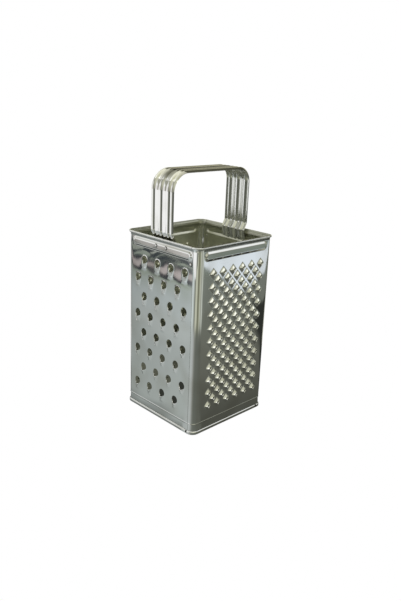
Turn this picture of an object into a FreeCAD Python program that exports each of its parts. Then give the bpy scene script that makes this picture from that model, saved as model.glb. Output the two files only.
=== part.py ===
import FreeCAD, Part
import math
import os

from FreeCAD import Vector

# Box body: four punched sheet panels round a square plan, standing on the floor at z = 0.
# The coarse panel faces -Y, the medium panel +X, the slicing panel +Y and the fine panel -X.
wall_span = 91.0
rim_height = 171.5
sheet = 0.5
corner_radius = 6.0
corner_facets = 6
lap_width = 5.5
lap_end_clearance = 1.5
seam_gap = 0.3

# Rolled rim along the top edge of every panel.
roll_radius = 1.1
roll_turn = 270.0
roll_facets = 9

# Raised band pressed outwards below the rim, with rounded ends.
band_drop = 9.0
band_height = 7.6
band_rise = 1.2
band_flank = 1.8
band_seam_margin = 1.0
band_corner_margin = 0.2
band_end_facets = 8

# Foot of every panel: a shoulder, a flared skirt and a folded hem that stands on the floor.
foot_height = 10.0
shoulder_height = 1.0
shoulder_inset = 0.6
hem_height = 3.4
hem_depth = 1.2
hem_relief = 3.0

# Coarse panel: round holes whose lower edge is drawn out into a raised cutting lip.
coarse_hole_radius = 3.7
coarse_hole_sides = 16
coarse_lip_sides = 6
coarse_lip_rise = 2.0
coarse_ramp_length = 9.5
coarse_root_share = 0.86
coarse_half_pitch = 8.9
coarse_row_pitch = 17.3
coarse_top_margin = 11.0
coarse_edge_margin = 3.5

# Medium panel: four-sided teeth with pierced tips on a staggered grid.
medium_tooth_half_width = 4.9
medium_tooth_half_height = 5.1
medium_tooth_rise = 2.2
medium_half_pitch = 5.95
medium_row_pitch = 6.14
medium_top_margin = 11.4
medium_corner_margin = 12.0
tooth_tip_share = 0.36
tooth_root_share = 0.93

# Fine panel: the same tooth, much smaller.
fine_tooth_half_width = 2.1
fine_tooth_half_height = 2.3
fine_tooth_rise = 1.2
fine_half_pitch = 4.6
fine_row_pitch = 7.6
fine_top_margin = 9.2
fine_corner_margin = 13.5

# Room kept between a field of teeth and the edges of its panel.
field_margin = 0.25
field_foot_margin = 9.0

# Slicing panel: long slots with a raised blade below each of them.
blade_count = 3
blade_length = 58.0
blade_rise = 2.6
blade_ramp = 13.0
blade_cheek = 5.0
blade_mouth = 4.0
blade_top_margin = 12.2
blade_pitch = 48.0

# Strap handle: a fluted strip bent to a U, its feet sprung into the bands from inside.
overall_height = 229.0
strap_width = 29.0
strap_sheet = 0.6
flute_depth = 1.7
flute_angle = 45.0
leg_overhang = 2.0
front_bend_radius = 18.0
back_bend_radius = 14.0
top_bend_facets = 8
foot_drop = 10.5
foot_length = 9.5
foot_slant = 12.0
foot_clearance = 0.3
joggle_angle = 45.0
joggle_inner_bend = 3.0
joggle_outer_bend = 4.0
joggle_facets = 4

# Rivets: four hold the handle and two hold the corner laps.
rivet_radius = 0.8
rivet_head_radius = 1.8
rivet_head_rise = 0.7
rivet_head_top_share = 0.6
rivet_clearance = 0.05
rivet_sides = 12
handle_rivet_spread = 13.0
handle_rivet_rise = 1.0
seam_rivet_drop = 2.7

# One overrun serves all cuts.
overrun = 1.0

half_span = wall_span / 2
bend_line = half_span - corner_radius
leg_line = half_span + leg_overhang
band_centre = rim_height - band_drop
band_low = band_centre - band_height / 2
quarter_turn = math.pi / 2
up = Vector(0, 0, 1)
outward = Vector(0, -1, 0)


def on_wall(s, u, z):
    """Point of a panel built facing -Y: s along the wall, u out of it, z up."""
    return Vector(s, -half_span - u, z)


def flat_face(points):
    return Part.Face(Part.makePolygon(points + points[:1]))


def sewn_solid(faces):
    """Closed solid from faces that meet edge to edge."""
    skin = Part.makeCompound(faces)
    skin.sewShape()
    return Part.makeSolid(skin.Shells[0])


def polyhedron(outlines):
    return sewn_solid([flat_face(points) for points in outlines])


def ring_facets(lower, upper):
    """Flat facets between two closed outlines with equal numbers of corners."""
    count = len(lower)
    return [[lower[i], lower[(i + 1) % count], upper[(i + 1) % count], upper[i]] for i in range(count)]


def ring_solid(rings):
    """Solid through a stack of closed outlines, capped at both ends."""
    faces = [rings[0], rings[-1]]
    for lower, upper in zip(rings, rings[1:]):
        faces.extend(ring_facets(lower, upper))
    return polyhedron(faces)


def box_between(a, b):
    low = Vector(min(a.x, b.x), min(a.y, b.y), min(a.z, b.z))
    return Part.makeBox(abs(a.x - b.x), abs(a.y - b.y), abs(a.z - b.z), low)


def folded_sides(centre_line, thickness):
    """Both faces of a folded strip whose middle follows 2D points, with mitred folds."""
    left = []
    right = []
    last = len(centre_line) - 1
    for i, (a, b) in enumerate(centre_line):
        before = centre_line[max(i - 1, 0)]
        after = centre_line[min(i + 1, last)]
        start = math.atan2(b - before[1], a - before[0])
        end = math.atan2(after[1] - b, after[0] - a)
        if i == 0:
            start = end
        if i == last:
            end = start
        turn = math.remainder(end - start, math.tau)
        middle = start + turn / 2
        reach = thickness / 2 / math.cos(turn / 2)
        left.append((a - reach * math.sin(middle), b + reach * math.cos(middle)))
        right.append((a + reach * math.sin(middle), b - reach * math.cos(middle)))
    return left, right


def panel_section():
    """Upright section of a panel as (u, z): hem, skirt, shoulder, wall and rolled rim."""
    roll_centre = rim_height - roll_radius
    middle = -sheet / 2
    hem_middle = hem_depth - sheet / 2
    inside, outside = folded_sides([
        (hem_middle, hem_height),
        (hem_middle, sheet / 2),
        (middle, sheet / 2),
        (middle, hem_height),
        (middle - shoulder_inset, foot_height - shoulder_height),
        (middle, foot_height),
        (middle, roll_centre),
    ], sheet)

    def roll(radius):
        points = []
        for i in range(roll_facets + 1):
            angle = math.pi - math.radians(roll_turn) * i / roll_facets
            u = roll_radius - sheet + radius * math.cos(angle)
            points.append((u, roll_centre + radius * math.sin(angle)))
        return points

    return inside[:-1] + roll(roll_radius) + roll(roll_radius - sheet)[::-1] + outside[-2::-1]


def band_block(right_lapped, setback, foot, crest):
    """Solid between two levels of the raised band, measured from a face set back into the wall."""
    seam_end = bend_line - band_seam_margin - band_height / 2
    corner_end = bend_line - band_corner_margin - band_height / 2
    left, right = (-corner_end, seam_end) if right_lapped else (-seam_end, corner_end)

    def slot(u):
        radius = band_height / 2 - (u + setback) * band_flank / band_rise
        points = []
        for end, start in ((right, -quarter_turn), (left, quarter_turn)):
            for i in range(band_end_facets + 1):
                angle = start + math.pi * i / band_end_facets
                height = band_centre + radius * math.sin(angle)
                points.append(on_wall(end + radius * math.cos(angle), u, height))
        return points

    return ring_solid([slot(foot), slot(crest)])


def lap_flange():
    """Flat flange that runs on from the rounded corner and lies behind the next panel."""
    middle = corner_radius - sheet / 2
    plan = []
    for depth in (sheet, 2 * sheet):
        root = math.sqrt(middle ** 2 - (corner_radius - depth) ** 2)
        plan.append((-half_span + depth, -bend_line - root))
    for depth in (2 * sheet, sheet):
        plan.append((-half_span + depth, -bend_line + lap_width))
    heights = (foot_height + lap_end_clearance, band_low - lap_end_clearance)
    return ring_solid([[Vector(x, y, z) for x, y in plan] for z in heights])


def blank_panel(right_lapped, flanged, holes):
    """Formed panel without teeth: its left edge goes round the corner, its right edge is plain."""
    section = panel_section()
    right_edge = bend_line - (seam_gap if right_lapped else 0)
    rings = []
    for i in range(corner_facets, -1, -1):
        angle = quarter_turn * i / corner_facets
        rings.append([
            Vector(
                -bend_line - (corner_radius + u) * math.sin(angle),
                -bend_line - (corner_radius + u) * math.cos(angle),
                z,
            )
            for u, z in section
        ])
    rings.append([on_wall(right_edge, u, z) for u, z in section])
    additions = [band_block(right_lapped, 0, -sheet / 2, band_rise)]
    if flanged:
        additions.append(lap_flange())
    cuts = [band_block(right_lapped, sheet, -sheet - overrun, band_rise - sheet)] + holes
    reliefs = ((-bend_line, -bend_line + hem_relief), (right_edge - hem_relief, right_edge + overrun))
    for start, end in reliefs:
        cuts.append(box_between(
            on_wall(start, 0, sheet),
            on_wall(end, hem_depth + overrun, hem_height + overrun),
        ))
    return ring_solid(rings).fuse(additions).cut(cuts)


def staggered_places(left, right, top, bottom, half_pitch, row_pitch, first_shift):
    """Centres of a staggered field, row by row from the top."""
    columns = int((right - left) / half_pitch) + 1
    rows = int((top - bottom) / row_pitch) + 1
    places = []
    for row in range(rows):
        for column in range((row + first_shift) % 2, columns, 2):
            places.append((left + column * half_pitch, top - row * row_pitch))
    return places


def lipped_hole(s, z):
    """Outlines and facets of a round hole with its lower edge drawn out into a raised lip."""
    step = math.tau / coarse_hole_sides
    lip_start = -quarter_turn - step * coarse_lip_sides / 2
    edge = []
    back = []
    for i in range(coarse_hole_sides):
        rise = coarse_lip_rise * max(math.sin(math.pi * i / coarse_lip_sides), 0) * (i < coarse_lip_sides)
        across = s + coarse_hole_radius * math.cos(lip_start + step * i)
        height = z + coarse_hole_radius * math.sin(lip_start + step * i)
        edge.append(on_wall(across, rise, height))
        back.append(on_wall(across, -sheet, height))
    tip = on_wall(s, 0, z - coarse_ramp_length)
    root = on_wall(s, -sheet, z - coarse_ramp_length * coarse_root_share)
    facets = [[root, back[0], edge[0]], [root, edge[coarse_lip_sides], back[coarse_lip_sides]]]
    for i in range(coarse_lip_sides):
        facets.append([tip, edge[i], edge[i + 1]])
        facets.append([root, edge[i + 1], edge[i]])
    rim = [i % coarse_hole_sides for i in range(coarse_lip_sides, coarse_hole_sides + 1)]
    for i, j in zip(rim, rim[1:]):
        facets.append([edge[i], edge[j], back[j], back[i]])
    return [edge[i] for i in rim] + [tip], [back[i] for i in rim] + [root], facets


def pierced_tooth(s, z, half_width, half_height, rise):
    """Outlines and facets of a hollow four-sided tooth with a sharp open tip."""
    def diamond(u, share):
        return [
            on_wall(s + half_width * share, u, z),
            on_wall(s, u, z + half_height * share),
            on_wall(s - half_width * share, u, z),
            on_wall(s, u, z - half_height * share),
        ]

    base = diamond(0, 1)
    root = diamond(-sheet, tooth_root_share)
    tip = diamond(rise, tooth_tip_share)
    return base, root, ring_facets(base, tip) + ring_facets(root, tip)


def punched_panel(panel, teeth):
    """Set a sheet field with formed teeth into a window of a plain panel."""
    corners = [point for front, back, facets in teeth for point in front]
    left = min(point.x for point in corners) - field_margin
    right = max(point.x for point in corners) + field_margin
    bottom = min(point.z for point in corners) - field_margin
    top = max(point.z for point in corners) + field_margin

    def frame(u):
        return [on_wall(s, u, z) for s, z in ((right, top), (left, top), (left, bottom), (right, bottom))]

    def pierced_face(outlines):
        wires = [Part.makePolygon(points + points[:1]) for points in outlines]
        return Part.makeFace(wires, "Part::FaceMakerBullseye")

    facets = ring_facets(frame(-sheet), frame(0))
    for front, back, own in teeth:
        facets.extend(own)
    faces = [flat_face(points) for points in facets]
    faces.append(pierced_face([frame(0)] + [front for front, back, own in teeth]))
    faces.append(pierced_face([frame(-sheet)] + [back for front, back, own in teeth]))
    window = box_between(on_wall(left, overrun, bottom), on_wall(right, -sheet - overrun, top))
    return panel.cut(window).fuse(sewn_solid(faces))


def coarse_panel(holes):
    places = staggered_places(
        -bend_line + coarse_hole_radius + coarse_edge_margin,
        bend_line - lap_width - coarse_hole_radius,
        band_low - coarse_top_margin,
        foot_height + coarse_ramp_length + coarse_edge_margin,
        coarse_half_pitch, coarse_row_pitch, 1,
    )
    blank = blank_panel(True, False, holes)
    return punched_panel(blank, [lipped_hole(s, z) for s, z in places])


def toothed_panel(half_width, half_height, rise, half_pitch, row_pitch, top_margin, corner_margin, holes):
    """Panel covered with pierced teeth, used for the medium and the fine side."""
    places = staggered_places(
        -bend_line + corner_margin,
        bend_line - half_width - 2 * field_margin,
        band_low - top_margin,
        foot_height + field_foot_margin,
        half_pitch, row_pitch, 0,
    )
    blank = blank_panel(False, True, holes)
    return punched_panel(blank, [pierced_tooth(s, z, half_width, half_height, rise) for s, z in places])


def blade_wedge(edge_height, inset):
    """Raised blade: a ramp that rises to a straight edge, with a sloping cheek at each end."""
    half_length = blade_length / 2
    lift = blade_rise - inset
    reach = half_length - blade_cheek
    low = edge_height - blade_ramp
    low_left = on_wall(-half_length, -inset, low)
    low_right = on_wall(half_length, -inset, low)
    high_left = on_wall(-half_length, -inset, edge_height)
    high_right = on_wall(half_length, -inset, edge_height)
    crest_left = on_wall(-reach, lift, edge_height)
    crest_right = on_wall(reach, lift, edge_height)
    return polyhedron([
        [low_left, low_right, crest_right, crest_left],
        [low_left, crest_left, high_left],
        [low_right, high_right, crest_right],
        [high_left, crest_left, crest_right, high_right],
        [low_left, high_left, high_right, low_right],
    ])


def slicing_panel(holes):
    reach = blade_length / 2 - blade_cheek
    blades = []
    cuts = []
    for blade in range(blade_count):
        edge = band_low - blade_top_margin - blade * blade_pitch
        blades.append(blade_wedge(edge, 0))
        cuts.append(blade_wedge(edge, sheet))
        cuts.append(box_between(
            on_wall(-reach, overrun, edge),
            on_wall(reach, -sheet - overrun, edge + blade_mouth),
        ))
    return blank_panel(True, False, holes).fuse(blades).cut(cuts)


def strap_section():
    """Closed outline of the fluted strap: (across the strap, outwards), crests at zero."""
    run = flute_depth / math.tan(math.radians(flute_angle))
    pitch = strap_width / 3
    crest = -strap_sheet / 2
    groove = crest - flute_depth
    grooves = [-strap_width / 2, -pitch, 0, pitch, strap_width / 2]
    line = [(grooves[0], groove)]
    for start, end in zip(grooves, grooves[1:]):
        line.extend([(start + run, crest), (end - run, crest), (end, groove)])
    left, right = folded_sides(line, strap_sheet)
    return left + right[::-1]


def strap_leg(bend_radius):
    """Rings along the outer crest on the +Y side: foot, joggle, leg and the bend to the bar."""
    outline = strap_section()
    slant = math.radians(foot_slant)
    joggle = math.radians(joggle_angle)
    rings = []

    def add_ring(y, z, heading):
        rings.append([
            Vector(x, y + d * math.sin(heading), z - d * math.cos(heading)) for x, d in outline
        ])

    def bend(y, z, heading, turn, radius, facets):
        """Rings round a bend; a positive turn is towards -Y. Returns where the bend ends."""
        side = math.copysign(radius, turn)
        centre_y = y - side * math.sin(heading)
        centre_z = z + side * math.cos(heading)
        for i in range(facets + 1):
            angle = heading + turn * i / facets
            y = centre_y + side * math.sin(angle)
            z = centre_z - side * math.cos(angle)
            add_ring(y, z, angle)
        return y, z

    y = half_span + band_rise - sheet - foot_clearance
    z = rim_height - foot_drop
    foot_heading = quarter_turn + slant
    add_ring(y, z, foot_heading)
    y += foot_length * math.cos(foot_heading)
    z += foot_length * math.sin(foot_heading)
    y, z = bend(y, z, foot_heading, -slant - joggle, joggle_inner_bend, joggle_facets)
    rounding = joggle_outer_bend * (1 - math.cos(joggle))
    rise = (leg_line - rounding - y) / math.tan(joggle)
    y = leg_line - rounding
    bend(y, z + rise, quarter_turn - joggle, joggle, joggle_outer_bend, joggle_facets)
    bend(leg_line, overall_height - bend_radius, quarter_turn, quarter_turn, bend_radius, top_bend_facets)
    return rings


def strap_handle():
    """Back leg as it is, then the bar and the front leg, which is mirrored and bent wider."""
    front = [[Vector(point.x, -point.y, point.z) for point in ring] for ring in strap_leg(front_bend_radius)]
    return ring_solid(strap_leg(back_bend_radius) + front[::-1])


def rivet_rings(levels):
    """Rivet outlines on its axis, from (radius, height) levels."""
    rings = []
    for radius, height in levels:
        angles = [math.tau * i / rivet_sides for i in range(rivet_sides)]
        rings.append([Vector(radius * math.cos(a), radius * math.sin(a), height) for a in angles])
    return rings


def seated(shape, seat):
    """Put a shape made round the z axis on a seat, pointing out of the wall."""
    shape.Placement = FreeCAD.Placement(seat, FreeCAD.Rotation(up, outward))
    return shape


def rivet(seat, length):
    """Low-headed rivet: head on the seat, shank the given length into the work."""
    return seated(ring_solid(rivet_rings([
        (rivet_head_radius * rivet_head_top_share, rivet_head_rise),
        (rivet_head_radius, 0),
        (rivet_radius, 0),
        (rivet_radius, -length),
    ])), seat)


def rivet_hole(seat, length):
    radius = rivet_radius + rivet_clearance
    return seated(ring_solid(rivet_rings([(radius, overrun), (radius, -length - overrun)])), seat)


def turned(shape, degrees):
    copy = shape.copy()
    copy.rotate(Vector(0, 0, 0), up, degrees)
    return copy


# Handle rivets: one through the crest of each flute, on both walls that carry the feet.
# Seam rivets: through the plain edge of a panel and the flange of its neighbour behind it.
rivet_height = band_centre + handle_rivet_rise
foot_lean = math.tan(math.radians(foot_slant)) * (rivet_height - rim_height + foot_drop)
handle_grip = sheet + foot_clearance + foot_lean + strap_sheet
seam_grip = 2 * sheet
seats = {
    "handle_rivet_left": (on_wall(-handle_rivet_spread / 2, band_rise, rivet_height), handle_grip),
    "handle_rivet_right": (on_wall(handle_rivet_spread / 2, band_rise, rivet_height), handle_grip),
    "seam_rivet": (on_wall(bend_line - lap_width / 2, 0, band_low - seam_rivet_drop), seam_grip),
}
holes = [rivet_hole(seat, grip) for seat, grip in seats.values()]
flange_holes = [turned(hole, -90) for hole in holes[-1:]]

medium = toothed_panel(
    medium_tooth_half_width, medium_tooth_half_height, medium_tooth_rise,
    medium_half_pitch, medium_row_pitch, medium_top_margin, medium_corner_margin, flange_holes,
)
fine = toothed_panel(
    fine_tooth_half_width, fine_tooth_half_height, fine_tooth_rise,
    fine_half_pitch, fine_row_pitch, fine_top_margin, fine_corner_margin, flange_holes,
)
nodes = {
    "coarse_panel": coarse_panel(holes),
    "medium_panel": turned(medium, 90),
    "slicing_panel": turned(slicing_panel(holes), 180),
    "fine_panel": turned(fine, 270),
    "strap_handle": strap_handle().cut(holes + [turned(hole, 180) for hole in holes]),
}
for name, (seat, grip) in seats.items():
    nodes["front_" + name] = rivet(seat, grip)
    nodes["back_" + name] = turned(rivet(seat, grip), 180)

os.makedirs("parts", exist_ok=True)
for name, shape in nodes.items():
    shape.exportStep("parts/" + name + ".step")
    print(name, len(shape.Solids), round(shape.Volume, 2))
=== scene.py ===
import math

import bmesh
import bpy
from mathutils import Matrix, Vector


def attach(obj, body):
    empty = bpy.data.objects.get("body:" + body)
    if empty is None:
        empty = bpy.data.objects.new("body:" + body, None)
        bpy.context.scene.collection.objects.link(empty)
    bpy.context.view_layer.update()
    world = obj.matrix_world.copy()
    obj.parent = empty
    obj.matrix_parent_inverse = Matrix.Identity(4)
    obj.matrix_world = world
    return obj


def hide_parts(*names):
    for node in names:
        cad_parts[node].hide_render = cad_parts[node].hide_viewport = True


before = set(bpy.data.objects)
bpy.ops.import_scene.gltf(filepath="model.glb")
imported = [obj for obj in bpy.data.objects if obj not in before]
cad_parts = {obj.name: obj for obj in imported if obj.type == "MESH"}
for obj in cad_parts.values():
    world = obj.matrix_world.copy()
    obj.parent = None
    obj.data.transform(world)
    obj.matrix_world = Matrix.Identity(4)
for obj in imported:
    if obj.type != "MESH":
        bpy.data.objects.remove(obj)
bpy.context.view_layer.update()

# Coarse wall panel, left front in the photograph. One sheet of bright tinned steel, with round
# holes punched through it and the lower edge of each hole drawn out into a raised cutting lip.
# Its rim is rolled, its foot is hemmed, and it goes round the left corner to the next panel.
mm = 0.001
wall_span = 91.0
half_span = wall_span / 2
rim_height = 171.5
sheet = 0.5
corner_radius = 6.0
bend_line = half_span - corner_radius
seam_gap = 0.3
band_centre = 162.9
band_half_height = 4.2
band_flat_half_height = 2.1
band_rise = 1.2
band_lean = 0.05
band_rounding = 0.06
band_rows = 26
band_end_steps = 10
band_margins = (0.15, 0.2)
seam_margin, corner_margin = 1.0, 0.2
band_seam_end = bend_line - seam_margin - band_half_height
band_corner_end = bend_line - corner_margin - band_half_height
fold_radius = 3.5
fold_trim = 0.5
neck_flare = 0.6
neck_undercut = 0.5
neck_turn = 0.55
neck_turn_share = 0.35
neck_rounding = 0.2
rim_inner_radius = 0.35
rim_roll = (172, -90)
rim_steps = 20
foot_height = 10.0
shoulder_height = 1.0
shoulder_inset = 0.6
shoulder_ridge = 0.25
ridge_height = 0.9
shoulder_rounding = 0.3
ridge_margins = (0.3, 1.5)
hem_height = 3.4
hem_depth = 1.2
hem_relief = 1.5
hem_rows = 7
hem_fold = 0.3
hem_curl = 1.0
hem_curl_turn = 68
fold_steps, skirt_steps, shoulder_steps, ridge_steps, neck_steps = 4, 6, 6, 5, 10
bend_steps = 12
lap_width = 5.5
lap_end_clearance = 1.5
weld_distance = 5e-6
same_place, least_area = 1e-4, 1e-3
panel_crease = 38


def evenly(start, end, steps):
    return [start + (end - start) * i / steps for i in range(steps + 1)]


def snapped(lengths):
    """Lengths rounded alike, so that neighbouring places meet."""
    return {round(length, 4) for length in lengths}


def rounded_ramp(t, rounding):
    """Straight rise from 0 to 1 with rounded ends."""
    t = min(max(t, 0.0), 1.0)
    if t > 0.5:
        return 1 - rounded_ramp(1 - t, rounding)
    if t < rounding:
        return t * t / (2 * rounding * (1 - rounding))
    return (t - rounding / 2) / (1 - rounding)


def band_height_at(s, z, ends, lean):
    """How far the raised band stands out of the wall at a place."""
    past_end = max(ends[0] - s, s - ends[1], 0.0)
    distance = math.hypot(past_end, z - band_centre)
    flank = (band_half_height - distance) / (band_half_height - band_flat_half_height)
    return (band_rise - lean * (z - band_centre)) * rounded_ramp(flank, band_rounding)


def panel_path(wall_heights):
    """Upright line of a panel's outer face as (u, z): hem, skirt, shoulder, wall and rolled rim."""
    fold, curl, gap = hem_fold, hem_curl, hem_depth - sheet
    path = []
    for degrees in evenly(hem_curl_turn, 0, hem_rows - 1):
        angle = math.radians(degrees)
        path.append((gap - curl + curl * math.cos(angle), hem_height - sheet - curl + curl * math.sin(angle)))
    path.append((gap, sheet + fold))
    for centre, turns in ((gap - fold, (0, -90)), (fold, (-90, -180))):
        for degrees in evenly(*turns, fold_steps)[1:]:
            angle = math.radians(degrees)
            path.append((centre + fold * math.cos(angle), sheet + fold + fold * math.sin(angle)))
        if turns[0] == 0:
            path.append((fold, sheet))
    path += [(0.0, hem_height), (0.0, hem_height + 0.1)]
    low = foot_height - shoulder_height
    for t in evenly(0.1, 1, skirt_steps)[1:]:
        path.append((-shoulder_inset * t, hem_height + (low - hem_height) * t))
    for t in evenly(0, 1, shoulder_steps)[1:]:
        out = (shoulder_inset + shoulder_ridge) * rounded_ramp(t, shoulder_rounding)
        path.append((out - shoulder_inset, low + shoulder_height * t))
    for t in evenly(0, 1, ridge_steps)[1:]:
        out = shoulder_ridge * (1 - rounded_ramp(t, shoulder_rounding))
        path.append((out, foot_height + ridge_height * t))
    path.extend((0.0, z) for z in wall_heights)
    radius = rim_inner_radius
    roll_centre = rim_height - sheet - radius
    flare = neck_flare + neck_undercut
    for t in evenly(0, 1, neck_steps)[1:-1]:
        u = neck_flare * t + neck_undercut * rounded_ramp((t - neck_turn) / neck_turn_share, neck_rounding)
        path.append((u, wall_heights[-1] + (roll_centre - wall_heights[-1]) * t))
    for degrees in evenly(*rim_roll, rim_steps):
        angle = math.radians(degrees)
        path.append((flare + radius + radius * math.cos(angle), roll_centre + radius * math.sin(angle)))
    return path


def quad(mesh, rows, i, j):
    mesh.faces.new((rows[i][j], rows[i + 1][j], rows[i + 1][j + 1], rows[i][j + 1]))


def formed_sheet(field_places, field_heights, right_lapped):
    """Outer face of a panel round its field of teeth, built facing -Y, as a mesh of quads."""
    right_edge = bend_line - seam_gap if right_lapped else bend_line
    ends = (-band_corner_end, band_seam_end) if right_lapped else (-band_seam_end, band_corner_end)
    lean = 0.0 if right_lapped else band_lean
    places = set(field_places)
    for step in evenly(0, band_half_height, band_end_steps) + [band_half_height + band_margins[0]]:
        places |= snapped((ends[0] - step, ends[1] + step))
    places |= snapped((-bend_line, right_edge - hem_relief, right_edge))
    places = sorted(x for x in places if -bend_line <= x <= right_edge)
    band = evenly(-band_half_height, band_half_height, band_rows)
    band += [-band_half_height - band_margins[1], band_half_height + band_margins[1]]
    heights = snapped(band_centre + z for z in band) | snapped(field_heights)
    heights = sorted(heights | snapped(foot_height + ridge_height + margin for margin in ridge_margins))
    path = panel_path(heights)
    columns = []
    radius = fold_radius if right_lapped else corner_radius
    trim = fold_trim if right_lapped else 0.0
    centre = radius - half_span
    if right_lapped:
        columns.append((None, [(-half_span - u, -bend_line, z) for u, z in path]))
    arc = evenly(90, 0, bend_steps)
    for degrees in arc if right_lapped else arc[:-1]:
        a = math.radians(degrees)
        reach = [radius + u * (1 - trim * math.sin(2 * a)) for u, z in path]
        columns.append((None, [
            (centre - r * math.sin(a), centre - r * math.cos(a), z) for r, (u, z) in zip(reach, path)
        ]))
    for s in places:
        columns.append((s, [(s, -half_span - u - band_height_at(s, z, ends, lean), z) for u, z in path]))
    mesh = bmesh.new()
    rows = [[mesh.verts.new(Vector(p) * mm) for p in points] for s, points in columns]
    field = (min(field_places), max(field_places), min(field_heights), max(field_heights))
    for i in range(len(columns) - 1):
        left, right = columns[i][0], columns[i + 1][0]
        middle = None if left is None else (left + right) / 2
        for j in range(len(path) - 1):
            height = (path[j][1] + path[j + 1][1]) / 2
            if middle is not None:
                if field[0] < middle < field[1] and field[2] < height < field[3]:
                    continue
                if middle > right_edge - hem_relief and j < hem_rows:
                    continue
            quad(mesh, rows, i, j)
    return mesh


def mesh_data(name, mesh):
    data = bpy.data.meshes.new(name)
    mesh.to_mesh(data)
    mesh.free()
    return data


def placed(name, data):
    """New object in the scene."""
    thing = bpy.data.objects.new(name, data)
    bpy.context.scene.collection.objects.link(thing)
    return thing


def joined_rings(mesh, rings):
    """Faces between each ring of vertices and the next."""
    faces = []
    for outer, inner in zip(rings, rings[1:]):
        for i in range(len(outer)):
            j = (i + 1) % len(outer)
            faces.append(mesh.faces.new((outer[i], outer[j], inner[j], inner[i])))
    return faces


def ring_tile(name, rings):
    """Open piece of sheet from rings of (s, u, z), the cell's border first and the cut edge last."""
    mesh = bmesh.new()
    joined_rings(mesh, [[mesh.verts.new((s * mm, -u * mm, z * mm)) for s, u, z in ring] for ring in rings])
    return bpy.data.objects.new(name, mesh_data(name, mesh))


def put_in(socket, value):
    """Link a socket into an input, or set the input to a plain number, vector or colour."""
    if isinstance(value, bpy.types.NodeSocket):
        socket.id_data.links.new(value, socket)
    elif socket.type == "RGBA":
        socket.default_value = (*value, 1)
    else:
        socket.default_value = value


def new_node(tree, kind, values):
    """New node with its named inputs filled."""
    node = tree.nodes.new(kind)
    for name, value in values.items():
        put_in(node.inputs[name], value)
    return node


def node_of(kind, operation, values):
    """New node in the tree of the sockets that it is given, with its first inputs filled."""
    tree = next(value.id_data for value in values if isinstance(value, bpy.types.NodeSocket))
    node = tree.nodes.new(kind)
    node.operation = operation
    for socket, value in zip(node.inputs, values):
        put_in(socket, value)
    return node


def math_of(operation, *values):
    return node_of("ShaderNodeMath", operation, values).outputs[0]


def vector_of(operation, *values):
    outputs = node_of("ShaderNodeVectorMath", operation, values).outputs
    return outputs["Value" if operation in ("DOT_PRODUCT", "LENGTH") else "Vector"]


def new_group(name, kind, inputs, outputs):
    """Node group with named inputs and outputs, and the sockets that stand for them inside it."""
    tree = bpy.data.node_groups.new(name, kind)
    for way, sockets in (("INPUT", inputs), ("OUTPUT", outputs)):
        for socket, holds in sockets:
            tree.interface.new_socket(socket, in_out=way, socket_type="NodeSocket" + holds)
    return tree, tree.nodes.new("NodeGroupInput").outputs, tree.nodes.new("NodeGroupOutput").inputs


def staggered_copies_tree():
    """Geometry Nodes: copies of one cell on a staggered grid, one for every so many places."""
    tree, given, put_out = new_group("staggered_copies", "GeometryNodeTree", (
        ("Cell", "Object"), ("Columns", "Int"), ("Rows", "Int"), ("Every", "Int"), ("Shift", "Int"),
        ("Half Pitch", "Float"), ("Row Pitch", "Float"), ("First Place", "Vector"), ("Finish", "Material"),
    ), (("Geometry", "Geometry"),))
    index = tree.nodes.new("GeometryNodeInputIndex").outputs[0]
    row = math_of("FLOOR", math_of("DIVIDE", index, given["Columns"]))
    column = math_of("SUBTRACT", index, math_of("MULTIPLY", row, given["Columns"]))
    step = new_node(tree, "ShaderNodeCombineXYZ", {
        "X": math_of("MULTIPLY", column, given["Half Pitch"]),
        "Z": math_of("MULTIPLY", math_of("MULTIPLY", row, given["Row Pitch"]), -1),
    })
    points = new_node(tree, "GeometryNodePoints", {
        "Count": math_of("MULTIPLY", given["Columns"], given["Rows"]),
        "Position": vector_of("ADD", given["First Place"], step.outputs[0]),
    })
    order = math_of("ADD", math_of("ADD", row, column), given["Shift"])
    punched = math_of("LESS_THAN", math_of("MODULO", order, given["Every"]), 0.5)
    cell = new_node(tree, "GeometryNodeObjectInfo", {"Object": given["Cell"]})
    copies = new_node(tree, "GeometryNodeInstanceOnPoints", {
        "Points": points.outputs[0], "Selection": punched, "Instance": cell.outputs["Geometry"],
    })
    realized = new_node(tree, "GeometryNodeRealizeInstances", {"Geometry": copies.outputs[0]})
    finish = new_node(tree, "GeometryNodeSetMaterial", {
        "Geometry": realized.outputs[0], "Material": given["Finish"],
    })
    put_in(put_out[0], finish.outputs[0])
    return tree


staggered_copies = staggered_copies_tree()


def copied_cells(cell, finish, columns, rows, every, shift, half_pitch, row_pitch, first):
    """Run the staggered copies and return them as one plain mesh, without the carrier object."""
    carrier = placed("carrier", bpy.data.meshes.new("carrier"))
    modifier = carrier.modifiers.new("copies", "NODES")
    modifier.node_group = staggered_copies
    values = {
        "Cell": cell, "Columns": columns, "Rows": rows, "Every": every, "Shift": shift,
        "Half Pitch": half_pitch * mm, "Row Pitch": row_pitch * mm,
        "First Place": (first[0] * mm, -half_span * mm, first[1] * mm), "Finish": finish,
    }
    for item in staggered_copies.interface.items_tree:
        if item.in_out == "INPUT":
            modifier[item.identifier] = values[item.name]
    carrier.update_tag()
    graph = bpy.context.evaluated_depsgraph_get()
    result = bpy.data.meshes.new_from_object(carrier.evaluated_get(graph))
    bpy.data.objects.remove(carrier)
    bpy.data.objects.remove(cell)
    return result


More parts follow.
